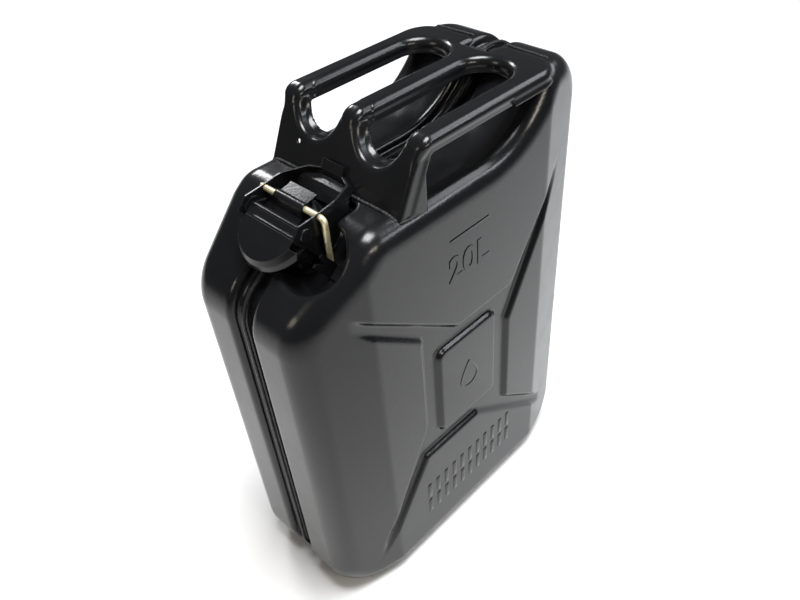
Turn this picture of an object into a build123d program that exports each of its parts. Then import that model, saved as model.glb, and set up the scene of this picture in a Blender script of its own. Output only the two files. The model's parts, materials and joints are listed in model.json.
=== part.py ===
from build123d import *
from math import acos, cos, degrees, radians, sin, tan
import os

# Twenty-litre jerry can. Millimetres, Z up, spout end at -X, base on Z = 0.

# pressed body
HALF_LENGTH = 172.5
HALF_WIDTH = 82.5
SHEET = 0.9
VALLEY_Z = 417.447656
HUMP_Z = 468.4
HUMP_RADIUS = 26.0
HUMP_X = 125.2
DIP_RADIUS = 98.0
DIP_X = 25.0
KINK_X = -95.5
SHOULDER_Z = 359.5
CORNER_RADII = (30, 45, 44.5, 47.2, 43)
EDGE_RADIUS = 20.0
FLAT_HALF = 108.0
SIDE_SLANT = 14.5

# seam channel round the middle
CHANNEL_HALF = 12.0
CHANNEL_DEPTH = 8.0
FLANGE_THICK = 1.0
FLANGE_TOP = 3.5

# X-shaped pressing in the broad faces
PRESS_DEPTH = 5.0
PRESS_WALL = 4.0
PRESS_CENTRE_Z = 209.0

# filler neck and its recess, in the frame of the 37 degree shoulder
NECK_X = -113.62
NECK_Z = 403.83
SLOPE = 37.0
RECESS_DEPTH = 26.0
WELL_RADIUS = 31.5
LOBE_RADIUS = 27.0
NECK_OUTER = 27.5
NECK_INNER = 26.0

# lever, pin and rivets, (along slope, off slope)
PIVOT = (1.4, 12.1)
PIN = (17.9, 9.0)
PIN_RADIUS = 2.5
RIVET_RADIUS = 3.0
RUNNING_GAP = 0.05
WALL_IN = 31.0
WALL_OUT = 32.5
LEVER_END = 55.0

# hood of the lid: half widths beside the saddle's ears and beside the leg of the pin
HOOD_AT_EARS = 28.4
HOOD_HALF = 33.6

# handle bracket
BRACKET_THICK = 1.5
HANDLE_Z = 470.0
BAR_PITCH = 68.5
BAR_HALF = 10.75
BAR_DEEP = 13.0
SLOT_END_Z = 440.0
PANEL_HOLE = (47.0, 435.0)
PANEL_HOLE_RADIUS = 1.6

SPAN = 700.0


def slope_plane(u=0.0, y=0.0, h=0.0):
    """Plane whose x runs up the shoulder and whose z stands off it."""
    c = cos(radians(SLOPE))
    s = sin(radians(SLOPE))
    origin = (NECK_X + c * u - s * h, y, NECK_Z + s * u + c * h)
    return Plane(origin=origin, x_dir=(c, 0, s), z_dir=(-s, 0, c))


def slope_side_plane(y):
    """Plane across the can: x up the shoulder, y off it, normal to -Y."""
    c = cos(radians(SLOPE))
    s = sin(radians(SLOPE))
    return Plane(origin=(NECK_X, y, NECK_Z), x_dir=(c, 0, s), z_dir=(0, -1, 0))


def world_side_plane(y):
    return Plane(origin=(0, y, 0), x_dir=(1, 0, 0), z_dir=(0, -1, 0))


def moved_corners(points, move):
    """Corners of a closed outline after each side moves outwards by move."""
    result = []
    for i, here in enumerate(points):
        here = Vector(*here)
        before = (here - Vector(*points[i - 1])).normalized()
        after = (Vector(*points[(i + 1) % len(points)]) - here).normalized()
        left = Vector(-before.Y, before.X)
        right = Vector(-after.Y, after.X)
        shift = (left + right) * (move / (1 + left.dot(right)))
        result.append((here.X + shift.X, here.Y + shift.Y))
    return result


def side_outline(inset):
    """Side view of the can, moved inwards by inset."""
    reach = HUMP_RADIUS + DIP_RADIUS
    turn = degrees(acos((HUMP_X - DIP_X) / reach))
    corners = [
        (DIP_X, VALLEY_Z),
        (KINK_X, VALLEY_Z),
        (-HALF_LENGTH, SHOULDER_Z),
        (-HALF_LENGTH, 0),
        (HALF_LENGTH, 0),
        (HALF_LENGTH, HUMP_Z),
        (HUMP_X, HUMP_Z),
    ]
    moved = moved_corners(corners, inset)
    moved[0] = (DIP_X, VALLEY_Z - inset)
    moved[-1] = (HUMP_X, HUMP_Z - inset)
    hump_centre = (HUMP_X, HUMP_Z - HUMP_RADIUS)
    dip_centre = (DIP_X, VALLEY_Z + DIP_RADIUS)
    with BuildSketch() as sketch:
        with BuildLine():
            FilletPolyline(moved, radius=[r - inset for r in CORNER_RADII])
            CenterArc(hump_centre, HUMP_RADIUS - inset, 90, 90 - turn)
            CenterArc(dip_centre, DIP_RADIUS + inset, -90, 90 - turn)
        make_face()
    return sketch.sketch


def slab(face, y_low, y_high):
    """Side-view face given thickness from y_low to y_high."""
    return extrude(world_side_plane(y_high) * face, amount=y_high - y_low)


def plan_prism(inset):
    """Plan view of the can: flat broad faces that slant back at both ends."""
    half = HALF_WIDTH - inset
    crease = FLAT_HALF - inset * tan(radians(SIDE_SLANT / 2))
    end = HALF_LENGTH + 20
    tip = half - (end - crease) * tan(radians(SIDE_SLANT))
    corners = [(-end, tip), (-crease, half), (crease, half), (end, tip)]
    corners += [(end, -tip), (crease, -half), (-crease, -half), (-end, -tip)]
    with BuildSketch() as sketch:
        with BuildLine():
            FilletPolyline(corners, radius=(0, 80, 80, 0, 0, 80, 80, 0), close=True)
        make_face()
    return Pos(0, 0, -50) * extrude(sketch.sketch, amount=SPAN)


def is_rim(edge):
    """True for the edges where a broad face meets the narrow faces."""
    box = edge.bounding_box().size
    if box.Y > 100:
        return False
    upright = edge.geom_type == GeomType.LINE and box.X < 1e-3 and box.Y < 1e-3
    return not (upright and abs((edge @ 0.5).X) < 150)


def hull(inset):
    """Rounded can body before the channel, pressing and recess."""
    block = slab(side_outline(inset), -90, 90) & plan_prism(inset)
    return fillet([e for e in block.edges() if is_rim(e)], EDGE_RADIUS - inset)


def ring(deep, half):
    """Everything outside the side outline moved in by deep, |y| below half."""
    outside = Rectangle(SPAN, SPAN).locate(Location((0, 230)))
    return slab(outside, -half, half) - slab(side_outline(deep), -half - 1, half + 1)


def rounded(points, radius):
    """Filled outline with rounded corners, sharp where an arm runs out."""
    radii = [0 if abs(x) > 125 else radius for x, z in points]
    return make_face(FilletPolyline(*points, radius=radii, close=True))


def press_cutter(side, grow):
    """Sloped-wall cutter for the X pressing on one broad face."""
    arms = [(-60, 290.5), (-134, 349), (-134, 368.9), (-12.2, 280.5)]
    arms += [(60, 280.5), (134, 391.5), (134, 374.5), (60, 236)]
    star = arms + [(-x, 2 * PRESS_CENTRE_Z - z) for x, z in arms]
    island = [(-37, 159), (-37, 259), (37, 259), (37, 159)]
    top = world_side_plane(side * (HALF_WIDTH + 0.5))
    floor = world_side_plane(side * (HALF_WIDTH - PRESS_DEPTH - grow))
    lip = grow * 0.5
    flare = PRESS_WALL * 0.5 / PRESS_DEPTH
    pit = loft(
        [
            top * rounded(moved_corners(star, lip + flare), 5),
            floor * rounded(moved_corners(star, lip - PRESS_WALL), 3),
        ],
        ruled=True,
    )
    stand = loft(
        [
            top * rounded(moved_corners(island, -lip - flare), 8),
            floor * rounded(moved_corners(island, PRESS_WALL - lip), 12),
        ],
        ruled=True,
    )
    return pit - stand


def recess(grow):
    """Sunk well round the filler neck, with a pocket for the lever behind it."""
    high = 40.0
    deep = RECESS_DEPTH + grow
    well = Circle(WELL_RADIUS + grow)
    well += Circle(LOBE_RADIUS + grow).locate(Location((-10, -37)))
    pocket = RectangleRounded(51 + grow, 73 + 2 * grow, 8).locate(Location((15.5 + grow / 2, 0)))
    return extrude(slope_plane(h=-deep) * (well + pocket), amount=deep + high)


def neck_bore(radius, low=-40.0, high=40.0):
    return extrude(slope_plane(h=low) * Circle(radius), amount=high - low)


def skin(inset):
    """Body surface moved inwards by inset, with channel, pressing and recess."""
    body = hull(inset) - ring(CHANNEL_DEPTH + inset, CHANNEL_HALF + inset)
    lips = [e for e in body.edges() if lies_at(e, CHANNEL_HALF + inset)]
    body = fillet(lips, 3.0)
    for side in (-1, 1):
        body -= press_cutter(side, inset)
    return body - recess(inset)


def lies_at(edge, y):
    return all(abs(abs((edge @ t).Y) - y) < 1e-3 for t in (0, 0.5, 1))


def shells():
    """The two pressed halves with their weld flanges in the channel."""
    sheet = skin(0) - skin(SHEET) - neck_bore(NECK_OUTER)
    flange = ring_between(FLANGE_TOP, CHANNEL_DEPTH, FLANGE_THICK) - recess(0)
    both = sheet + flange
    groove = mark_grooves()
    both -= groove
    half = Pos(0, -150, 230) * Box(SPAN, 300, SPAN)
    return both & half, both - half


def ring_between(shallow, deep, half):
    """Band of the side outline between two depths below the outer surface."""
    band = slab(side_outline(shallow), -half, half)
    return band - slab(side_outline(deep), -half - 1, half + 1)


def mark_grooves():
    """Rule line and two rows of short plain ribs on the -Y broad face."""
    cuts = [Pos(3, -HALF_WIDTH, 374.5) * Box(48, 0.9, 1.6)]
    for z in (61, 86):
        for column in range(11):
            cuts.append(Pos(-62 + 12.4 * column, -HALF_WIDTH, z) * Box(5.2, 0.9, 20))
    return Compound(cuts)


def seam_weld():
    return ring_between(FLANGE_TOP - 1.4, FLANGE_TOP, 1.6) - recess(0)


def side_plate(points, y_low, y_high):
    """Outline in the shoulder frame (along slope, off slope) given a thickness."""
    face = make_face(Polyline(points, close=True))
    return extrude(slope_side_plane(y_high) * face, amount=y_high - y_low)


def cross_rod(where, radius, y_low, y_high):
    """Round bar along Y at a point of the shoulder frame."""
    face = Circle(radius).locate(Location(where))
    return extrude(slope_side_plane(y_high) * face, amount=y_high - y_low)


def neck_tube():
    wall = neck_bore(NECK_OUTER, -27.5, -2.0) - neck_bore(NECK_INNER, -28, 0)
    lip = neck_bore(NECK_OUTER + 0.5, -2.6, -1.0) - neck_bore(NECK_INNER, -3, 0)
    return wall + lip


def neck_weld():
    profile = make_face(Polyline([(NECK_OUTER, -RECESS_DEPTH), (NECK_OUTER + 3, -RECESS_DEPTH),
                                  (NECK_OUTER, -RECESS_DEPTH + 3)], close=True))
    bead = revolve(Plane.XZ * profile, axis=Axis.Z)
    return slope_plane() * bead


def neck_saddle():
    """Band round the neck with an ear on each side for the lever pivots."""
    band = neck_bore(NECK_OUTER + 1.3, -22, -10) - neck_bore(NECK_OUTER, -23, -9)
    ear = [(-7, -20), (10, -20), (9, 14), (6, 18), (-3, 18), (-6, 14)]
    pad = [(-6, -20), (6, -20), (6, -12), (-6, -12)]
    ears = []
    for ear_low, pad_low in ((29.0, 27.9), (-30.5, -30.5)):
        ears.append(side_plate(ear, ear_low, ear_low + 1.5) + side_plate(pad, pad_low, pad_low + 2.6))
    saddle = band + ears[0] + ears[1]
    return saddle - cross_rod(PIVOT, RIVET_RADIUS, -40, 40)


def catch_lug():
    """Small notched lug beside the leg of the pin."""
    bottom = -RECESS_DEPTH
    notch = [(-16, bottom), (-4, bottom), (-4, -3), (-7, -3), (-10, -11), (-13, -3), (-16, -3)]
    foot = [(-16, bottom), (-4, bottom), (-4, bottom + 1.5), (-16, bottom + 1.5)]
    return side_plate(notch, -42, -40.5) + side_plate(foot, -50, -42)


def pivot_rivet(side):
    shank = cross_rod(PIVOT, RIVET_RADIUS, 29.0, 33.0)
    head = fillet(cross_rod(PIVOT, 5.5, 32.8, 34.2).faces().sort_by(Axis.Y)[-1].edges(), 1.0)
    rivet = shank + head
    return rivet if side > 0 else mirror(rivet, about=Plane.XZ)


def lever_band(grow):
    """Plan outline of the lever, moved inwards by grow."""
    wall = WALL_OUT - grow
    end = LEVER_END - grow
    right = [(-12, wall), (33.5, wall), (end - 4, wall - 8.5), (end, 14 - grow)]
    left = [(along, -aside) for along, aside in right]
    radii = [0, 14 - grow, 6 - grow, 5 - grow]
    return make_face(FilletPolyline(*left, *right[::-1], radius=radii + radii[::-1], close=True))


def lever():
    """Two cheeks joined round the back, a sloping floor and the thumb tab."""
    thick = WALL_OUT - WALL_IN
    cheek = [(-8, 20), (3.7, 21.8), (18.7, 12.5), (33.5, 4.2), (55.2, -11.8), (49.5, -16.2), (43, -12.5),
             (27, -16), (9, -21), (2, -20), (0, -12), (6, -8), (9.6, -2), (2.4, 3), (-8, 5)]
    web = [(31, -15.3), (43, -12.5), (49.5, -16.2), (50.3, -14.8), (43.2, -10.8), (31.2, -13.7)]
    tab = [(53.4, -11.9), (55.2, -11.8), (61.6, -8.2), (60.9, -6.9), (53.4, -11.0)]
    outer = extrude(slope_plane(h=-40) * lever_band(0), amount=80)
    inner = extrude(slope_plane(h=-40) * lever_band(thick), amount=80)
    sides = side_plate(cheek, -40, 40) & (outer - inner)
    floor = side_plate(web, -40, 40) & outer
    hole = cross_rod(PIVOT, RIVET_RADIUS + RUNNING_GAP, -40, 40)
    hole += cross_rod(PIN, PIN_RADIUS + RUNNING_GAP, -40, 40)
    return sides + floor + side_plate(tab, -12, 12) - hole


def lid_cover():
    """Raised hood, open at the sides where the ears stand."""
    outer = [(0, 4), (37, 7), (35, 11.5), (31.5, 15.5), (0, 15.5)]
    inner = [(0, 3), (35.9, 6.5), (33.9, 10.9), (31, 14.3), (0, 14.3)]
    dome = revolve(Plane.XZ * make_face(Polyline(outer, close=True)), axis=Axis.Z)
    dome -= revolve(Plane.XZ * make_face(Polyline(inner, close=True)), axis=Axis.Z)
    dome -= Pos(0, 0, 3.5) * Cylinder(36.5, 7)
    hood = slope_plane(u=-2) * dome
    beside_ears = [(-13, 0), (60, 0), (60, 30), (-13, 30)]
    beside_leg = [(-60, 0), (60, 0), (60, 30), (-60, 30)]
    for outline, aside in ((beside_ears, HOOD_AT_EARS), (beside_leg, HOOD_HALF)):
        hood -= side_plate(outline, aside, 50)
        hood -= side_plate(outline, -50, -aside)
    hood -= side_plate([(3.6, 30), (3.6, 0), (60, 0), (60, 30)], -50, 50)
    hood += side_plate([(3.0, 15.5), (3.8, 15.5), (11.2, 8.6), (10.4, 7.8), (3.0, 14.3)], -26.8, 26.8)
    for u in (-5.6, 2.6):
        hood += cross_rod((u, 14.9), 1.6, -26.8, 26.8)
    return hood - neck_bore(26, 0, 14.25)


def lid_plate():
    return neck_bore(28.4, 2.3, 3.8)


def lid_gasket():
    return neck_bore(28.0, -0.7, 2.3) - neck_bore(24.0, -1, 3)


def gasket_rivet():
    return extrude(slope_plane(u=-4, h=3.8) * Circle(4), amount=10.45)


def hinge_strap():
    """Barrel round the pin, its foot on the disc and the tongue behind."""
    foot = [(2, 3.8), (12, 3.8), (16, 6.2), (14.2, 9.4), (11.9, 8.2), (10.8, 5.6), (2, 5.6)]
    tongue = [(20, 10.8), (32, 5.4), (31.4, 4.0), (20, 8)]
    strap = cross_rod(PIN, 4.4, -16.3, 16.3)
    strap += side_plate(foot, -15, 15)
    strap += side_plate(tongue, -15, 15)
    return strap - cross_rod(PIN, PIN_RADIUS + RUNNING_GAP, -20, 20)


def retaining_pin():
    """Straight pin with a plain end and one leg hanging down outside the lever."""
    c = cos(radians(SLOPE))
    s = sin(radians(SLOPE))
    x = NECK_X + c * PIN[0] - s * PIN[1]
    z = NECK_Z + s * PIN[0] + c * PIN[1]
    path = FilletPolyline((x, 35.5, z), (x, -37, z), (x, -37, 384.5), radius=4.0)
    start = Plane(origin=(x, 35.5, z), z_dir=(0, -1, 0))
    return sweep(start * Circle(PIN_RADIUS), path=path)


def breather_tube():
    """Air pipe from the neck to the air space under the hump."""
    c = cos(radians(SLOPE))
    s = sin(radians(SLOPE))
    top = (NECK_X + c * 21 + s * 3, 0, NECK_Z + s * 21 - c * 3)
    low = (NECK_X + c * 21 + s * 40, 0, NECK_Z + s * 21 - c * 40)
    path = FilletPolyline(top, low, (38, 0, low[2]), (114, 0, 436), radius=14)
    start = Plane(origin=top, z_dir=(s, 0, -c))
    return sweep(start * (Circle(4) - Circle(3.2)), path=path)


def breather_clip():
    strap = extrude(slope_plane(u=21, h=-14) * (Circle(4.8) - Circle(4)), amount=5)
    lug = extrude(slope_plane(u=25.2, h=-14) * Rectangle(1.4, 6), amount=5)
    clip = strap + (lug & neck_bore(NECK_INNER, -14, -9))
    return clip - extrude(slope_plane(u=21, h=-15) * Circle(4), amount=8)


def bar_section(shrink):
    """Rounded-top section of one carrying bar, open below."""
    half = BAR_HALF - shrink
    low = HANDLE_Z - BAR_DEEP - (5 if shrink else 0)
    top = HANDLE_Z - shrink
    radius = 7.5 - shrink
    return make_face(FilletPolyline((-half, low), (-half, top), (half, top), (half, low),
                                    radius=(0, radius, radius, 0), close=True))


def handle_bar(y):
    plane = Plane(origin=(-37, y, 0), x_dir=(0, 1, 0), z_dir=(1, 0, 0))
    solid = extrude(plane * bar_section(0), amount=134)
    return solid - extrude(plane * bar_section(BRACKET_THICK), amount=134)


def handle_bracket():
    """Three bars, rear plate on the hump, leaning front panel, folded sides."""
    edge = BAR_PITCH + BAR_HALF
    slot_half = (BAR_PITCH - 2 * BAR_HALF) / 2
    slot_y = BAR_PITCH / 2
    plate = make_face(FilletPolyline((72, -edge), (112, -edge), (126, -66), (126, -13.5), (109, -13.5),
                                     (109, 13.5), (126, 13.5), (126, 66), (112, edge), (72, edge),
                                     radius=(0, 14, 6, 2, 3, 3, 2, 6, 14, 0), close=True))
    for side in (-1, 1):
        slot = SlotOverall(80, 2 * slot_half).locate(Location((98 - 40, side * slot_y)))
        plate -= slot
    top = extrude(Plane.XY.offset(HANDLE_Z - BRACKET_THICK) * plate, amount=BRACKET_THICK)
    lean = [(-34, 470), (-38.5, 470), (-41, 467), (-67.8, 412), (-66.1, 412), (-39.5, 466.2),
            (-38, 468.5), (-34, 468.5)]
    panel = slab(make_face(Polyline(lean, close=True)), -edge, edge)
    for side in (-1, 1):
        panel -= Pos(-50, side * (edge + 10 - 4.25), 425) * Box(60, 20, 64)
        slot = SlotOverall(120, 2 * slot_half, rotation=90).locate(Location((side * slot_y, SLOT_END_Z + 60)))
        front = Plane(origin=(-90, 0, 0), x_dir=(0, 1, 0), z_dir=(1, 0, 0))
        panel -= extrude(front * slot, amount=100)
    panel -= Pos(-60, *PANEL_HOLE) * Rot(0, 90, 0) * Cylinder(PANEL_HOLE_RADIUS, 40)
    bracket = top + panel
    for y in (-BAR_PITCH, 0, BAR_PITCH):
        bracket += handle_bar(y)
    gusset = make_face(Polyline([(-40.2, 467), (-36.5, 467), (-36.5, 412), (-66.8, 412)], close=True))
    for y_low in (-75.0, 73.5):
        bracket += slab(gusset, y_low, y_low + BRACKET_THICK)
    return bracket - hull(0)


def handle_front_weld(bracket):
    bead = make_face(Polyline([(-69.5, VALLEY_Z), (-64.2, VALLEY_Z), (-62.8, 421)], close=True))
    return slab(bead, -61, 61) - bracket


def handle_rear_weld():
    bead = make_face(Polyline([(126, HUMP_Z), (129.4, HUMP_Z), (126, HUMP_Z + 1.5)], close=True))
    return slab(bead, -60, -17) + slab(bead, 17, 60)


def main():
    left_shell, right_shell = shells()
    bracket = handle_bracket()
    nodes = {
        "left_shell": left_shell,
        "right_shell": right_shell,
        "seam_weld": seam_weld(),
        "handle_bracket": bracket,
        "handle_front_weld": handle_front_weld(bracket),
        "handle_rear_weld": handle_rear_weld(),
        "neck_tube": neck_tube(),
        "neck_weld": neck_weld(),
        "neck_saddle": neck_saddle(),
        "catch_lug": catch_lug(),
        "left_rivet": pivot_rivet(-1),
        "right_rivet": pivot_rivet(1),
        "breather_tube": breather_tube(),
        "breather_clip": breather_clip(),
        "lever": lever(),
        "lid_cover": lid_cover(),
        "lid_plate": lid_plate(),
        "lid_gasket": lid_gasket(),
        "gasket_rivet": gasket_rivet(),
        "hinge_strap": hinge_strap(),
        "retaining_pin": retaining_pin(),
    }
    os.makedirs("parts", exist_ok=True)
    for name, shape in nodes.items():
        export_step(shape, f"parts/{name}.step")


main()
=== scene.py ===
import json
import math

import bpy
import numpy as np
from mathutils import Matrix, Vector


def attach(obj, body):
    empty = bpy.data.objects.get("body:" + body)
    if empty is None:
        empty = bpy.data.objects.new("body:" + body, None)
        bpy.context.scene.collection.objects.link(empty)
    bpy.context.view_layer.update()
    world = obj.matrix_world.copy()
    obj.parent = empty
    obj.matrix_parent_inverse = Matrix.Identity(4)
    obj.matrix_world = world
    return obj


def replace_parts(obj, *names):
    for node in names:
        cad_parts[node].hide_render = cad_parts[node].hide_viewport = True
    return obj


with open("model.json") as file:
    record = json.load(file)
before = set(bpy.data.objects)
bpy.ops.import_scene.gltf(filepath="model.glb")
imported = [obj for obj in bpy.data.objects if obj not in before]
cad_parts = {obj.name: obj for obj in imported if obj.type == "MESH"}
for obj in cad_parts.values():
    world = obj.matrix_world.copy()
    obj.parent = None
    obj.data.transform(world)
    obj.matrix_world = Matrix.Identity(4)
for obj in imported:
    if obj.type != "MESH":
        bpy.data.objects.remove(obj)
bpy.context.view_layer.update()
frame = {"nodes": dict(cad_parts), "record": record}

# lens and stand of the camera
CAMERA_AT = (-0.36343, -0.39719, 0.71923)
CAMERA_AZIMUTH = -44.23
CAMERA_ELEVATION = 41.18
CAMERA_ROLL = -3.88
CAMERA_LENS = 33.05
CAMERA_SHIFT = (-0.0273, 0.0048)


PAINT_SPECULAR = 0.36
# noise scale of the colour and of the gloss, for paint and for bare metal
PAINT_SHADE_SCALE = 14
PAINT_GLOSS_SCALE = 40
METAL_SHADE_SCALE = 60
METAL_GLOSS_SCALE = 120
# edge softening of the small fittings, metres
FITTING_EDGE = 0.0007

# darkest and palest shade of each finish
BLACK = ((0.0045, 0.0048, 0.0054), (0.0075, 0.0078, 0.0088))
STEEL = ((0.30, 0.30, 0.31), (0.45, 0.45, 0.46))
PIPE = ((0.35, 0.34, 0.33), (0.5, 0.49, 0.47))
RUBBER = ((0.012, 0.012, 0.012), (0.025, 0.025, 0.024))
ZINC = ((0.72, 0.64, 0.38), (0.84, 0.79, 0.58))


def new_material(name):
    material = bpy.data.materials.new(name)
    material.use_nodes = True
    tree = material.node_tree
    return material, tree, tree.nodes["Principled BSDF"]


def link(tree, source, target):
    tree.links.new(source, target)


def noise(tree, scale, detail=4.0, rough=0.5):
    coords = tree.nodes.new("ShaderNodeTexCoord")
    node = tree.nodes.new("ShaderNodeTexNoise")
    node.inputs["Scale"].default_value = scale
    node.inputs["Detail"].default_value = detail
    node.inputs["Roughness"].default_value = rough
    link(tree, coords.outputs["Object"], node.inputs["Vector"])
    return node.outputs["Fac"]


def ramp(tree, value, low, high):
    """Maps 0.3..0.7 of a noise to low..high."""
    node = tree.nodes.new("ShaderNodeMapRange")
    node.inputs["From Min"].default_value = 0.3
    node.inputs["From Max"].default_value = 0.7
    node.inputs["To Min"].default_value = low
    node.inputs["To Max"].default_value = high
    link(tree, value, node.inputs["Value"])
    return node.outputs["Result"]


def tint(tree, value, first, second):
    node = tree.nodes.new("ShaderNodeValToRGB")
    node.color_ramp.elements[0].position = 0.35
    node.color_ramp.elements[0].color = (*first, 1)
    node.color_ramp.elements[1].position = 0.7
    node.color_ramp.elements[1].color = (*second, 1)
    link(tree, value, node.inputs["Fac"])
    return node.outputs["Color"]


def bump(tree, shader, layers, edge):
    """Softens edges by a radius in metres, then stacks noise bumps of (scale, metres)."""
    normal = None
    if edge:
        rounding = tree.nodes.new("ShaderNodeBevel")
        rounding.samples = 6
        rounding.inputs["Radius"].default_value = edge
        normal = rounding.outputs["Normal"]
    for scale, height in layers:
        node = tree.nodes.new("ShaderNodeBump")
        node.inputs["Distance"].default_value = height
        node.inputs["Strength"].default_value = 1.0
        link(tree, noise(tree, scale, 2.0), node.inputs["Height"])
        if normal:
            link(tree, normal, node.inputs["Normal"])
        normal = node.outputs["Normal"]
    link(tree, normal, shader.inputs["Normal"])


def painted(name, colours, rough, layers, edge=0.0):
    material, tree, shader = new_material(name)
    link(tree, tint(tree, noise(tree, PAINT_SHADE_SCALE), *colours), shader.inputs["Base Color"])
    link(tree, ramp(tree, noise(tree, PAINT_GLOSS_SCALE), *rough), shader.inputs["Roughness"])
    shader.inputs["Specular IOR Level"].default_value = PAINT_SPECULAR
    bump(tree, shader, layers, edge)
    return material


def metal(name, colours, rough, layers, metallic=1.0):
    material, tree, shader = new_material(name)
    shader.inputs["Metallic"].default_value = metallic
    link(tree, tint(tree, noise(tree, METAL_SHADE_SCALE), *colours), shader.inputs["Base Color"])
    link(tree, ramp(tree, noise(tree, METAL_GLOSS_SCALE), *rough), shader.inputs["Roughness"])
    bump(tree, shader, layers, 0.0)
    return material


MATERIALS = {
    "can_paint": painted("can_paint", BLACK, (0.17, 0.24), ((260, 0.00008), (900, 0.00003))),
    "fitting_paint": painted("fitting_paint", BLACK, (0.16, 0.26),
                             ((420, 0.00008), (1400, 0.00002)), FITTING_EDGE),
    "weld": painted("weld", BLACK, (0.35, 0.5), ((320, 0.0009), (1200, 0.0003))),
    "rivet_steel": metal("rivet_steel", STEEL, (0.25, 0.4), ((900, 0.0001),)),
    "pipe_steel": metal("pipe_steel", PIPE, (0.3, 0.5), ((700, 0.0001),)),
    "gasket_rubber": painted("gasket_rubber", RUBBER, (0.6, 0.8), ((800, 0.0001),)),
    "yellow_zinc": metal("yellow_zinc", ZINC, (0.24, 0.38), ((1500, 0.00005),), 0.6),
}


def paint(obj, slot):
    obj.data.materials.clear()
    obj.data.materials.append(MATERIALS[slot])


def paint_cad():
    for part in frame["record"]["subparts"]:
        obj = frame["nodes"][part["node"]]
        obj.data.materials.clear()
        obj.data.materials.append(MATERIALS[part["material_slot"]])


def make_floor():
    material, tree, shader = new_material("pale_floor")
    shade = tint(tree, noise(tree, 3), (0.86, 0.86, 0.86), (0.90, 0.90, 0.90))
    link(tree, shade, shader.inputs["Base Color"])
    shader.inputs["Roughness"].default_value = 0.6
    bpy.ops.mesh.primitive_plane_add(size=30, location=(0, 0, 0))
    floor = bpy.context.object
    floor.name = "floor"
    floor.data.materials.append(material)


def area_light(name, at, aim, size, watts, colour):
    data = bpy.data.lights.new(name, "AREA")
    data.shape = "RECTANGLE"
    data.size, data.size_y = size
    data.energy = watts
    data.color = colour
    light = bpy.data.objects.new(name, data)
    bpy.context.collection.objects.link(light)
    light.location = at
    direction = Vector(aim) - Vector(at)
    light.rotation_euler = direction.to_track_quat("-Z", "Y").to_euler()


NEUTRAL = (0.98, 0.99, 1.0)
COOL = (0.93, 0.96, 1.0)
# name, place, aim, size, watts, colour
LIGHTS = [
    ("overhead", (0.1, -0.25, 2.6), (0, 0, 0), (1.0, 1.0), 84, NEUTRAL),
    ("back_floor", (0.8, 2.6, 2.2), (0.8, 2.0, 0), (0.8, 0.8), 55, NEUTRAL),
    ("warm_lamp", (-1.5, 0.4, 1.2), (0, 0, 0.35), (0.5, 0.5), 4, (1.0, 0.90, 0.76)),
    ("window", (1.3, -0.5, 1.5), (0.45, -0.35, 0), (0.9, 0.9), 14, COOL),
    ("shoulder_strip", (-0.16, -1.04, 1.08), (-0.1, 0, 0.4), (0.5, 0.12), 3.5, (1.0, 0.92, 0.80)),
    ("handle_strip", (0.65, -0.85, 1.1), (0, 0, 0.45), (0.5, 0.14), 2.6, (0.90, 0.95, 1.0)),
]


def make_light():
    world = bpy.data.worlds.new("studio")
    bpy.context.scene.world = world
    world.use_nodes = True
    sky = world.node_tree.nodes["Background"]
    sky.inputs["Color"].default_value = (0.97, 0.98, 1.0, 1)
    sky.inputs["Strength"].default_value = 0.11
    for name, at, aim, size, watts, colour in LIGHTS:
        area_light(name, at, aim, size, watts, colour)


def make_camera():
    a = math.radians(CAMERA_AZIMUTH)
    e = math.radians(CAMERA_ELEVATION)
    r = math.radians(CAMERA_ROLL)
    back = Vector((math.sin(a) * math.cos(e), -math.cos(a) * math.cos(e), math.sin(e)))
    right = Vector((0, 0, 1)).cross(back).normalized()
    up = back.cross(right)
    turned_right = right * math.cos(r) + up * math.sin(r)
    turned_up = up * math.cos(r) - right * math.sin(r)
    data = bpy.data.cameras.new("camera")
    data.lens = CAMERA_LENS
    data.sensor_width = 36
    data.shift_x, data.shift_y = CAMERA_SHIFT
    data.clip_start = 0.01
    camera = bpy.data.objects.new("camera", data)
    bpy.context.collection.objects.link(camera)
    turn = Matrix((turned_right, turned_up, back)).transposed()
    camera.matrix_world = Matrix.Translation(CAMERA_AT) @ turn.to_4x4()
    bpy.context.scene.camera = camera
    bpy.context.scene.view_settings.view_transform = "Standard"


# body of the can, millimetres, as in the CAD part
HALF_WIDTH = 82.5
FACE_BACK = 0.7
VALLEY_Z = 417.45
HUMP_Z = 468.4
EDGE_RADIUS = 20.0
FLAT_HALF = 108.0
CHANNEL_HALF = 12.0
CHANNEL_DEPTH = 8.0
PRESS_DEPTH = 5.0
NECK = (-113.62, 403.83)
SLOPE = math.radians(37.0)
RECESS_DEPTH = 26.0
RECESS_DRAFT = 0.06
WELL_RADIUS = 31.5
LOBE_AT = (-10.0, -37.0)
LOBE_RADIUS = 27.0
POCKET_AT = 15.5
POCKET_HALF_LONG = 25.5
POCKET_HALF_WIDE = 36.5
POCKET_CORNER = 8.0
NECK_HOLE_RADIUS = 27.5
NECK_HOLE_END = -60
CREASE_BEND = 18.0
SLANT = math.radians(14.5)
ISLAND_HALF_LONG = 37
ISLAND_HALF_TALL = 50
ISLAND_CORNER = 7.0
ISLAND_Z = 209
SHELL_CELL = 1.5
MM = 0.001

# side outline: corners with their radii, then the two arcs of the hump
CORNERS = [((25, VALLEY_Z), 0), ((-95.5, VALLEY_Z), 30), ((-172.5, 359.5), 45), ((-172.5, 0), 44.5),
           ((172.5, 0), 47.2), ((172.5, HUMP_Z), 43), ((125.2, HUMP_Z), 0)]
HUMP_ARC = ((125.2, 442.4), 26.0)
DIP_ARC = ((25.0, 515.45), 98.0)


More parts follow.
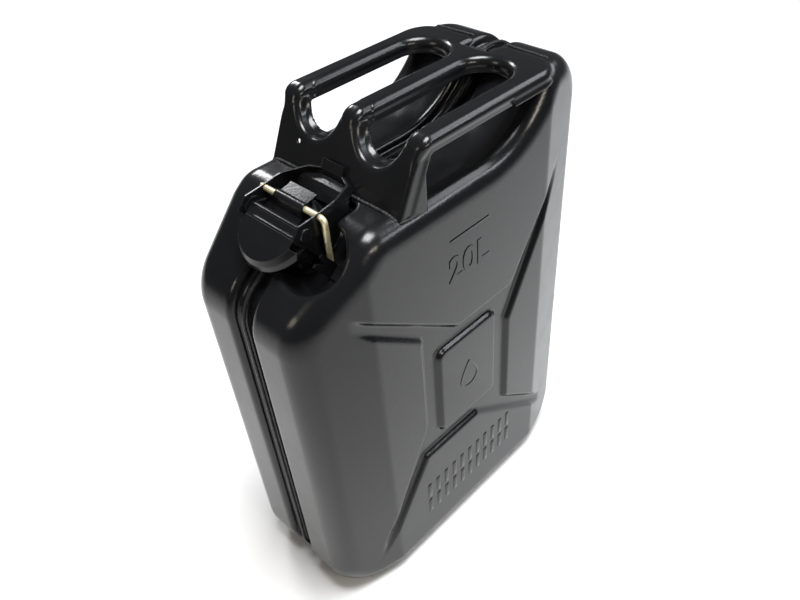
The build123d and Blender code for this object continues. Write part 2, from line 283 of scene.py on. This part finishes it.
def outline_features():
    """Straight runs (start, end) and arcs (centre, radius, normal at start, normal at end)."""
    lines, arcs = [], []
    last = np.array(CORNERS[0][0], float)
    for i in range(1, len(CORNERS)):
        here = np.array(CORNERS[i][0], float)
        radius = CORNERS[i][1]
        way_in = (here - last) / np.linalg.norm(here - last)
        if not radius:
            lines.append((last, here))
            break
        way_out = np.array(CORNERS[i + 1][0], float) - here
        way_out /= np.linalg.norm(way_out)
        turn = math.acos(np.clip(way_in @ way_out, -1, 1))
        cut = radius * math.tan(turn / 2)
        lines.append((last, here - way_in * cut))
        normals = [np.array((w[1], -w[0])) for w in (way_in, way_out)]
        arcs.append((here - way_in * cut - normals[0] * radius, radius, *normals))
        last = here + way_out * cut
    between = np.array(DIP_ARC[0]) - np.array(HUMP_ARC[0])
    between /= np.linalg.norm(between)
    arcs.append((np.array(HUMP_ARC[0]), HUMP_ARC[1], np.array((0.0, 1.0)), between))
    return lines, arcs, (np.array(DIP_ARC[0]), DIP_ARC[1], np.array((0.0, -1.0)), -between)


LINES, ARCS, DIP = outline_features()


def cross(a, bx, bz):
    return a[0] * bz - a[1] * bx


def outline_distance(x, z):
    """Signed distance to the side outline, negative inside."""
    best = np.full(np.broadcast(x, z).shape, 999.0, np.float32)

    def take(valid, value):
        closer = valid & (np.abs(value) < np.abs(best))
        np.copyto(best, value, where=closer)

    for a, b in LINES:
        length = np.linalg.norm(b - a)
        t = (b - a) / length
        along = (x - a[0]) * t[0] + (z - a[1]) * t[1]
        away = (x - a[0]) * t[1] - (z - a[1]) * t[0]
        take((along >= 0) & (along <= length), away)
    for centre, radius, n0, n1 in ARCS:
        dx, dz = x - centre[0], z - centre[1]
        inside = (cross(n0, dx, dz) >= 0) & (cross(n1, dx, dz) <= 0)
        take(inside, np.hypot(dx, dz) - radius)
    centre, radius, n0, n1 = DIP
    dx, dz = x - centre[0], z - centre[1]
    take((cross(n0, dx, dz) >= 0) & (cross(n1, dx, dz) <= 0), radius - np.hypot(dx, dz))
    return best


def polygon_distance(points, x, z):
    """Signed distance to a closed polygon, negative inside."""
    shape = np.broadcast(x, z).shape
    best = np.full(shape, 1e9, np.float32)
    odd = np.zeros(shape, bool)
    for i in range(len(points)):
        ax, az = points[i - 1]
        bx, bz = points[i]
        ex, ez = bx - ax, bz - az
        t = np.clip(((x - ax) * ex + (z - az) * ez) / (ex * ex + ez * ez), 0, 1)
        np.minimum(best, (x - ax - t * ex) ** 2 + (z - az - t * ez) ** 2, out=best)
        spans = (az > z) != (bz > z)
        if ez:
            odd ^= spans & (x < ax + (z - az) * ex / ez)
    return np.where(odd, -1, 1) * np.sqrt(best)


def smooth_step(low, high, value):
    t = np.clip((value - low) / (high - low), 0, 1)
    return t * t * (3 - 2 * t)


def smooth_max(a, b, radius):
    """Larger of two fields, with a rounded outside edge of about that radius."""
    h = np.clip(radius - np.abs(a - b), 0, None) / radius
    return np.maximum(a, b) + h * h * radius * 0.25


def round_max(a, b, radius):
    """Intersection of two fields with a true rolling-ball edge."""
    u = np.clip(a + radius, 0, None)
    v = np.clip(b + radius, 0, None)
    return np.minimum(np.maximum(a, b), -radius) + np.hypot(u, v)


# X pressing: the upper arms and their tips, then the same turned half round
ARMS = [(-60, 290.5), (-140, 354), (-140, 373.3), (-12.2, 280.5),
        (60, 280.5), (140, 400.5), (140, 385), (60, 236)]
STAR = ARMS + [(-x, 2 * ISLAND_Z - z) for x, z in ARMS]


def press_amount(x, z):
    """How far the X pressing is sunk, 0 on the face to 1 on its floor."""
    star = polygon_distance(STAR, x, z)
    corner = ISLAND_CORNER
    qx = np.abs(x) - ISLAND_HALF_LONG + corner
    qz = np.abs(z - ISLAND_Z) - ISLAND_HALF_TALL + corner
    island = np.hypot(np.clip(qx, 0, None), np.clip(qz, 0, None))
    island = island + np.minimum(np.maximum(qx, qz), 0) - corner
    return smooth_step(0.0, 5.4, -smooth_max(star, -island, 6))


def face_half(x, z):
    """Half width of the can: flat, then slanting back past the crease, then pressed in."""
    bend = CREASE_BEND
    start = FLAT_HALF - bend * math.tan(SLANT / 2)
    run = np.clip(np.abs(x) - start, 0, None)
    reach = bend * math.sin(SLANT)
    arc = bend - np.sqrt(np.clip(bend * bend - np.minimum(run, reach) ** 2, 0, None))
    drop = arc + np.clip(run - reach, 0, None) * math.tan(SLANT)
    half = HALF_WIDTH - FACE_BACK - drop
    floor = HALF_WIDTH - FACE_BACK - PRESS_DEPTH
    room = 0.5 * (half - floor + np.sqrt((half - floor) ** 2 + 0.3))
    return half - press_amount(x, z) * room


def slope_frame(x, z):
    dx, dz = x - NECK[0], z - NECK[1]
    c, s = math.cos(SLOPE), math.sin(SLOPE)
    return c * dx + s * dz, c * dz - s * dx


def recess_field(x, y, z, lobed):
    """Well round the neck, its one lobe and the lever pocket behind it, negative inside."""
    u, h = slope_frame(x, z)
    well = np.hypot(u, y) - WELL_RADIUS
    if lobed:
        lobe = np.hypot(u - LOBE_AT[0], y - LOBE_AT[1]) - LOBE_RADIUS
        well = -smooth_max(-well, -lobe, 5)
    corner = POCKET_CORNER
    across = np.abs(u - POCKET_AT) - POCKET_HALF_LONG + corner
    aside = np.abs(y) - POCKET_HALF_WIDE + corner
    pocket = np.hypot(np.clip(across, 0, None), np.clip(aside, 0, None))
    pocket = pocket + np.minimum(np.maximum(across, aside), 0) - corner
    plan = -smooth_max(-well, -pocket, 5)
    plan = plan - RECESS_DRAFT * (h + RECESS_DEPTH)
    return smooth_max(plan, -(h + RECESS_DEPTH), 8)


class Shell:
    """Field of the can body; what depends only on x and z is kept on a fine grid."""

    def __init__(self, lobed):
        self.lobed = lobed
        self.step = 0.75
        self.x = np.arange(-178, 178.1, self.step)
        self.z = np.arange(-6, 476.1, self.step)
        gx, gz = np.meshgrid(self.x, self.z, indexing="ij")
        self.side = outline_distance(gx, gz)
        self.half = face_half(gx, gz)

    def look_up(self, table, x, z):
        fx = np.clip((x - self.x[0]) / self.step, 1, len(self.x) - 3.001)
        fz = np.clip((z - self.z[0]) / self.step, 1, len(self.z) - 3.001)
        ix, iz = fx.astype(int), fz.astype(int)
        tx, tz = fx - ix, fz - iz
        result = 0
        for i, wx in enumerate(spline_weights(tx)):
            for j, wz in enumerate(spline_weights(tz)):
                result = result + wx * wz * table[ix + i - 1, iz + j - 1]
        return result

    def field(self, x, y, z, side=None, half=None):
        side = self.look_up(self.side, x, z) if side is None else side
        half = self.look_up(self.half, x, z) if half is None else half
        body = round_max(side, np.abs(y) - half, EDGE_RADIUS)
        channel = smooth_max(np.abs(y) - CHANNEL_HALF, -(side + CHANNEL_DEPTH), 3)
        channel = np.broadcast_to(channel, body.shape)
        body = smooth_max(body, -channel, 7)
        body = smooth_max(body, -recess_field(x, y, z, self.lobed), 5)
        u, h = slope_frame(x, z)
        far_below = 100 * (h < NECK_HOLE_END)
        return np.maximum(body, NECK_HOLE_RADIUS - np.hypot(u, y) - far_below)


def spline_weights(t):
    """Smooth cubic weights for four neighbours, so shading shows no grid."""
    return ((1 - t) ** 3 / 6, (3 * t**3 - 6 * t**2 + 4) / 6,
            (-3 * t**3 + 3 * t**2 + 3 * t + 1) / 6, t**3 / 6)


def net(field, low, high, cell, grid_values):
    """Surface of a field as quads: one vertex in each crossed cell, slid on to the surface."""
    axes = [np.arange(a, b + cell, cell) for a, b in zip(low, high)]
    values = grid_values(axes)
    inside = values < 0
    count = np.zeros([n - 1 for n in inside.shape], np.uint8)
    for i in (0, 1):
        for j in (0, 1):
            for k in (0, 1):
                count += inside[i:i + count.shape[0], j:j + count.shape[1], k:k + count.shape[2]]
    crossed = (count > 0) & (count < 8)
    number = np.full(count.shape, -1, np.int32)
    number[crossed] = np.arange(crossed.sum())
    cells = np.argwhere(crossed)
    points = np.array([axes[k][0] + (cells[:, k] + 0.5) * cell for k in range(3)])
    start = points.copy()
    for _ in range(5):
        value, slope = value_and_slope(field, points)
        points = points - slope * value / np.clip((slope**2).sum(0), 0.05, None)
        points = start + np.clip(points - start, -0.9 * cell, 0.9 * cell)
    quads = []
    for axis in range(3):
        quads.append(axis_quads(inside, number, axis))
    return points.T, np.concatenate(quads)


def value_and_slope(field, points):
    eps = 0.05
    value = field(*points)
    slope = []
    for k in range(3):
        moved = points.copy()
        moved[k] += eps
        slope.append((field(*moved) - value) / eps)
    return value, np.array(slope)


def axis_quads(inside, number, axis):
    """Quads round every grid edge along one axis that the surface crosses."""
    a = np.moveaxis(inside, axis, 0)
    n = np.moveaxis(number, axis, 0)
    start, end = a[:-1, 1:-1, 1:-1], a[1:, 1:-1, 1:-1]
    i, j, k = np.nonzero(start != end)
    leaving = start[i, j, k]
    corners = np.stack([n[i, j, k], n[i, j + 1, k], n[i, j + 1, k + 1], n[i, j, k + 1]], 1)
    flip = leaving if axis == 1 else ~leaving
    corners[flip] = corners[flip][:, ::-1]
    return corners[(corners >= 0).all(1)]


def mesh_object(name, points, faces, slot):
    mesh = bpy.data.meshes.new(name)
    mesh.vertices.add(len(points))
    mesh.vertices.foreach_set("co", (np.asarray(points) * MM).astype(np.float32).ravel())
    sizes = np.full(len(faces), faces.shape[1])
    mesh.loops.add(int(sizes.sum()))
    mesh.loops.foreach_set("vertex_index", faces.astype(np.int32).ravel())
    mesh.polygons.add(len(faces))
    mesh.polygons.foreach_set("loop_start", np.arange(len(faces), dtype=np.int32) * faces.shape[1])
    mesh.update(calc_edges=True)
    mesh.validate()
    mesh.shade_smooth()
    obj = bpy.data.objects.new(name, mesh)
    bpy.context.collection.objects.link(obj)
    paint(obj, slot)
    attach(obj, "can")
    return obj


def half_skin(lobed):
    """Points and faces of the half with y below zero."""
    shell = Shell(lobed)

    def grid_values(axes):
        x, z = np.broadcast_arrays(axes[0][:, None], axes[2][None, :])
        side = shell.look_up(shell.side, x, z)[:, None, :]
        half = shell.look_up(shell.half, x, z)[:, None, :]
        gx, gy, gz = axes[0][:, None, None], axes[1][None, :, None], axes[2][None, None, :]
        return shell.field(gx, gy, gz, side, half)

    low = (-175.3, -84.0, -3.1)
    high = (175.3, 1.5, 471.1)
    points, faces = net(shell.field, low, high, SHELL_CELL, grid_values)
    points[:, 1] = np.minimum(points[:, 1], 0)
    on_plane = points[:, 1] > -1e-6
    faces = faces[~on_plane[faces].all(1)]
    used = np.unique(faces)
    renumber = np.full(len(points), -1)
    renumber[used] = np.arange(len(used))
    return points[used], renumber[faces]


def make_shells():
    """The side with the pin leg has a lobe in its recess; the other side has none."""
    points, faces = half_skin(True)
    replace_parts(mesh_object("left_shell_skin", points, faces, "can_paint"), "left_shell")
    points, faces = half_skin(False)
    right = mesh_object("right_shell_skin", points * (1, -1, 1), faces[:, ::-1], "can_paint")
    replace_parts(right, "right_shell")


# handle bracket
HANDLE_TOP = 470.0
BAR_PITCH = 68.5
BAR_HALF = 10.75
BRACKET_SHEET = 2.0
FLANGE_DEEP = 13.0
SLOT_END_Z = 440.0
SLOT_END_X = 98
TOP_SLOT_Z_FRONT = 463
TOP_SLOT_Z = 454
FRONT_BEND_X = -30
FRONT_SLOT_BACK_X = -26
REAR_EDGE_X = 126
NOTCH_X = 109
NOTCH_HALF = 13.5
PANEL_HOLE_AT = (47, 435)
PANEL_HOLE_RADIUS = 1.9
FOOT_Z = 411
BRACKET_CELL = 0.9


def slot_distance(x, y, z):
    """The two long slots: along the top, round the bend and down the front panel."""
    across = np.abs(np.abs(y) - BAR_PITCH / 2)
    half = (BAR_PITCH - 2 * BAR_HALF) / 2
    top = np.hypot(across, np.clip(x - (SLOT_END_X - half), 0, None)) - half
    top = np.maximum(top, np.where(x < FRONT_BEND_X, TOP_SLOT_Z_FRONT, TOP_SLOT_Z) - z)
    front = np.hypot(across, np.clip(SLOT_END_Z + half - z, 0, None)) - half
    front = np.maximum(front, x - FRONT_SLOT_BACK_X)
    return -smooth_max(-top, -front, 3)


def rear_outline(x, y):
    """Rear plate in plan: clipped corners and a notch over the seam."""
    side = np.abs(y)
    corner = (x - REAR_EDGE_X) * 0.62 + (side - 66) * 0.785
    plate = smooth_max(np.maximum(x - REAR_EDGE_X, side - (BAR_PITCH + BAR_HALF)), corner, 6)
    notch = np.maximum(side - NOTCH_HALF, NOTCH_X - x)
    return smooth_max(plate, -notch, 4)


def bracket_field(x, y, z):
    """Pressed sheet with every rim turned down; outer surface minus inner."""
    # the front panel leans forward going down, from its bend at the top
    lean = (z - 466) * 0.44 - (x + 41) * 0.897
    level = round_max(z - HANDLE_TOP, lean, 8)
    narrow = 4.2 * smooth_step(466, 452, z) * (x < 60)
    outer = np.maximum(rear_outline(x, y), np.abs(y) - (BAR_PITCH + BAR_HALF) + narrow)
    plan = smooth_max(outer, -slot_distance(x, y, z), 3)
    plan = plan - 1.3 * smooth_step(-8, -13, level)
    # rims bend gently along the bars and more tightly low on the panel
    bend = 3.2 + 4.3 * smooth_step(444, 466, z)
    skin = round_max(plan, level, bend)
    core = round_max(plan + BRACKET_SHEET, level + BRACKET_SHEET, bend - BRACKET_SHEET)
    end = np.minimum(-(level + FLANGE_DEEP), np.maximum(x + 38, 70 - np.abs(y)))
    sheet = np.maximum(smooth_max(skin, -core, 0.6), end)
    sheet = np.maximum(sheet, FOOT_Z - z)
    from_hole = np.hypot(y - PANEL_HOLE_AT[0], z - PANEL_HOLE_AT[1])
    hole = np.maximum(PANEL_HOLE_RADIUS - from_hole, -9.0)
    return np.where(x < -45, np.maximum(sheet, hole), sheet)


def make_bracket():
    def grid_values(axes):
        return bracket_field(axes[0][:, None, None], axes[1][None, :, None], axes[2][None, None, :])

    low = (-70.2, -83.1, 409.5)
    high = (128.2, 83.1, 471.3)
    points, faces = net(bracket_field, low, high, BRACKET_CELL, grid_values)
    bracket = mesh_object("handle_bracket_skin", points, faces, "can_paint")
    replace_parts(bracket, "handle_bracket")


def outline_path(step=2.0):
    """Points and outward normals all round the side outline."""
    points, normals = [], []
    pieces = []
    for i, line in enumerate(LINES):
        pieces.append(("line", line))
        if i < len(ARCS) - 1:
            pieces.append(("arc", ARCS[i]))
    pieces.append(("arc", ARCS[-1]))
    pieces.append(("dip", DIP))
    for kind, data in pieces:
        if kind == "line":
            a, b = data
            length = np.linalg.norm(b - a)
            t = (b - a) / length
            for s in np.arange(0, length, step):
                points.append(a + t * s)
                normals.append((t[1], -t[0]))
            continue
        centre, radius, n0, n1 = data
        a0 = math.atan2(n0[1], n0[0])
        turn = math.acos(np.clip(n0 @ n1, -1, 1))
        count = max(2, int(radius * turn / step))
        for k in range(count):
            share = k / count
            if kind == "arc":
                angle = a0 + turn * share
                n = np.array((math.cos(angle), math.sin(angle)))
                points.append(centre + n * radius)
                normals.append(n)
            else:
                angle = math.atan2(n1[1], n1[0]) - turn * share
                n = np.array((math.cos(angle), math.sin(angle)))
                points.append(centre + n * radius)
                normals.append(-n)
    return np.array(points), np.array(normals)


def ribbon(rings, closed_section=True):
    """Quads joining a run of equal cross-sections."""
    count, size = len(rings), len(rings[0])
    points = np.concatenate(rings)
    faces = []
    for i in range(count - 1):
        for j in range(size if closed_section else size - 1):
            k = (j + 1) % size
            faces.append((i * size + j, i * size + k, (i + 1) * size + k, (i + 1) * size + j))
    return points, np.array(faces)


RING_POINTS = 12
# each is a depth below the side outline and a half width
FLANGE_ROOT = (8.6, 1.1)
FLANGE_TIP = (3.8, 0.9)
BEAD_DEPTH = 3.4
BEAD_HALF = 1.9


def make_seam():
    """Welded flanges and the rippled weld run down the middle of the channel."""
    path, normals = outline_path()
    u, h = slope_frame(path[:, 0], path[:, 1])
    open_run = ~((u > -36) & (u < 40) & (np.abs(h) < 30))
    first = int(np.argmax(~open_run))
    order = np.roll(np.arange(len(path)), -first)
    order = order[open_run[order]]
    rng = np.random.default_rng(7)
    wobble = np.convolve(rng.normal(0, 0.35, len(order) + 6), np.ones(4) / 4, "same")
    flange, bead = [], []
    for k, i in enumerate(order):
        p, n = path[i], normals[i]

        def at(depth, y):
            q = p - n * depth
            return (q[0], y, q[1])

        root, tip = FLANGE_ROOT, FLANGE_TIP
        flange.append(np.array([at(root[0], -root[1]), at(tip[0], -tip[1]),
                                at(tip[0], tip[1]), at(root[0], root[1])]))
        middle = wobble[k] * 0.5
        size = BEAD_HALF + 0.35 * math.sin(k * 2.4) + wobble[k + 3] * 0.5
        section = []
        for a in np.linspace(0, 2 * math.pi, RING_POINTS, endpoint=False):
            section.append(at(BEAD_DEPTH - size * 0.7 * math.sin(a), middle + size * math.cos(a)))
        bead.append(np.array(section))
    points, faces = ribbon(flange, closed_section=False)
    mesh_object("seam_flange", points, faces, "can_paint")
    points, faces = ribbon(bead)
    obj = mesh_object("seam_bead", points, faces[:, ::-1], "weld")
    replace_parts(obj, "seam_weld")


def bead_run(name, knots, radius, seed, replaced=None):
    """Hand-laid weld bead along a run of points, with ripples and lumps from its own seed."""
    knots = np.array(knots, float)
    rng = np.random.default_rng(seed)
    runs = [np.linspace(a, b, max(3, int(np.linalg.norm(b - a) / 0.9)), endpoint=False)
            for a, b in zip(knots[:-1], knots[1:])]
    path = np.concatenate(runs + [knots[-1:]])
    rings = []
    for k, p in enumerate(path):
        ahead = path[min(k + 1, len(path) - 1)] - path[max(k - 1, 0)]
        ahead /= np.linalg.norm(ahead)
        side = np.cross(ahead, (0.3, 0.2, 0.93))
        side /= np.linalg.norm(side)
        up = np.cross(side, ahead)
        fade = min(1.0, 0.25 + min(k, len(path) - 1 - k) / 3)
        size = radius * fade * (1 + 0.16 * math.sin(k * 1.9) + rng.normal(0, 0.07))
        shift = rng.normal(0, radius * 0.07, 3)
        ring = [p + shift + size * (side * math.cos(a) + up * math.sin(a))
                for a in np.linspace(0, 2 * math.pi, RING_POINTS, endpoint=False)]
        rings.append(np.array(ring))
    points, faces = ribbon(rings)
    obj = mesh_object(name, points, faces, "weld")
    if replaced:
        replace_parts(obj, replaced)


def make_welds():
    foot = [(-67.3, y, 417.6 - max(0, abs(y) - 60) ** 2 * 0.028) for y in np.linspace(-72, 72, 25)]
    bead_run("front_bead", foot, 1.7, 3, "handle_front_weld")
    for name, side in (("corner_bead_left", -1), ("corner_bead_right", 1)):
        corner = [(-66, side * 74, 413.2), (-58, side * 75.4, 412.8), (-46, side * 75.4, 412.8)]
        bead_run(name, corner, 1.6, 5 + side)
    bead_run("rear_bead_left", [(127, -62, 468.0), (127.3, -18, 468.6)], 1.3, 11, "handle_rear_weld")
    bead_run("rear_bead_right", [(127.3, 18, 468.6), (127, 62, 468.0)], 1.3, 12)
    bead_run("notch_bead", [(110, -10, 464.5), (110.5, 0, 463.5), (110, 10, 464.5)], 3.0, 13)


# raised marks on the near broad face
FACE_Y = -(HALF_WIDTH - FACE_BACK)
MARK_PROUD = 0.65
FIGURES_AT = (2, 334)
FIGURES_TALL = 33.5
RULE_LINE = (-21, 27, 373.7, 375.3)
RIB_ROWS = ((76, 96), (51, 71))
RIB_COUNT = 11
RIB_HALF = 2.6
RIB_SPAN = 62
DROP_Z = 205
DROP_RADIUS = 11.5
DROP_TALL = 21
DROP_LINE = 1.7
DROP_POINTS = 40


def as_mesh(obj, name):
    """Turns a text object into a painted mesh piece of the can."""
    bpy.context.view_layer.update()
    graph = bpy.context.evaluated_depsgraph_get()
    mesh = bpy.data.meshes.new_from_object(obj.evaluated_get(graph))
    mesh.transform(obj.matrix_world)
    made = bpy.data.objects.new(name, mesh)
    bpy.context.collection.objects.link(made)
    bpy.data.objects.remove(obj)
    mesh.shade_flat()
    paint(made, "can_paint")
    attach(made, "can")


def make_capacity_mark():
    curve = bpy.data.curves.new("figures", "FONT")
    curve.body = "20L"
    curve.size = FIGURES_TALL * MM
    curve.space_character = 1.02
    curve.align_x = "CENTER"
    curve.offset = 0.55 * MM
    curve.extrude = MARK_PROUD * MM * 0.5
    curve.bevel_depth = 0.35 * MM
    curve.bevel_resolution = 3
    text = bpy.data.objects.new("figures", curve)
    bpy.context.collection.objects.link(text)
    text.rotation_euler = (math.pi / 2, 0, 0)
    text.location = (FIGURES_AT[0] * MM, FACE_Y * MM, FIGURES_AT[1] * MM)
    as_mesh(text, "capacity_figures")


def pad(x0, x1, z0, z1):
    """Low rounded pad raised from the broad face, as rings closed by a fan."""
    rise = MARK_PROUD
    edge = min(1.3, (x1 - x0) / 2.2, (z1 - z0) / 2.2)
    rings = []
    for grow, lift in ((0.9, -0.15), (0.35, 0.25 * rise), (0.0, 0.8 * rise), (-0.4, rise)):
        ring = []
        for cx, cz, start in ((x1, z1, 0), (x0, z1, 90), (x0, z0, 180), (x1, z0, 270)):
            sx = -1 if cx == x1 else 1
            sz = -1 if cz == z1 else 1
            for a in np.radians(np.linspace(start, start + 90, 5)):
                ring.append((cx + sx * edge + (edge + grow) * math.cos(a), FACE_Y - lift,
                             cz + sz * edge + (edge + grow) * math.sin(a)))
        rings.append(np.array(ring))
    points, faces = ribbon(rings)
    size = len(rings[0])
    cap = points[-size:].mean(0)
    n = len(points)
    points = np.vstack([points, cap])
    fan = [(n - size + j, n - size + (j + 1) % size, n) for j in range(size)]
    return points, faces, np.array(fan)


def make_pads(name, boxes):
    """Joins the pads of all the boxes into one piece."""
    points, quads, fans, base = [], [], [], 0
    for box in boxes:
        p, q, f = pad(*box)
        points.append(p)
        quads.append(q + base)
        fans.append(f + base)
        base += len(p)
    points, quads, fans = map(np.concatenate, (points, quads, fans))
    mesh = bpy.data.meshes.new(name)
    mesh.from_pydata((points * MM).tolist(), [], quads.tolist() + fans.tolist())
    mesh.shade_smooth()
    obj = bpy.data.objects.new(name, mesh)
    bpy.context.collection.objects.link(obj)
    paint(obj, "can_paint")
    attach(obj, "can")


def make_ribs():
    """Rule line under the shoulder and two rows of plain ribs low on the face."""
    ribs = [RULE_LINE]
    for low, high in RIB_ROWS:
        middles = np.linspace(-RIB_SPAN, RIB_SPAN, RIB_COUNT)
        ribs += [(x - RIB_HALF, x + RIB_HALF, low, high) for x in middles]
    make_pads("pressed_ribs", ribs)


def make_drop():
    """Outline of a drop in the centre panel."""
    drop = []
    for a in np.linspace(-math.pi / 2, 1.5 * math.pi, DROP_POINTS, endpoint=False):
        below = math.sin(a) < 0
        wide = DROP_RADIUS * math.cos(a) * (1 if below else (1 - math.sin(a)) ** 0.55)
        tall = (DROP_RADIUS if below else DROP_TALL) * math.sin(a)
        drop.append((wide, FACE_Y + 0.35, DROP_Z + tall))
    drop = np.array(drop + drop[:1])
    rings = []
    for k in range(DROP_POINTS):
        ahead = drop[(k + 1) % DROP_POINTS] - drop[k - 1]
        ahead /= np.linalg.norm(ahead)
        side = np.cross(ahead, (0, 1, 0))
        rings.append(np.array([drop[k] + side * DROP_LINE * math.cos(a) + np.array((0, 1.0, 0)) * math.sin(a)
                               for a in np.linspace(0, 2 * math.pi, 10, endpoint=False)]))
    rings.append(rings[0])
    points, faces = ribbon(rings)
    mesh_object("drop_outline", points, faces, "can_paint")


paint_cad()
make_shells()
make_bracket()
make_seam()
make_welds()
make_capacity_mark()
make_ribs()
make_drop()
make_floor()
make_light()
make_camera()
bpy.context.view_layer.update()
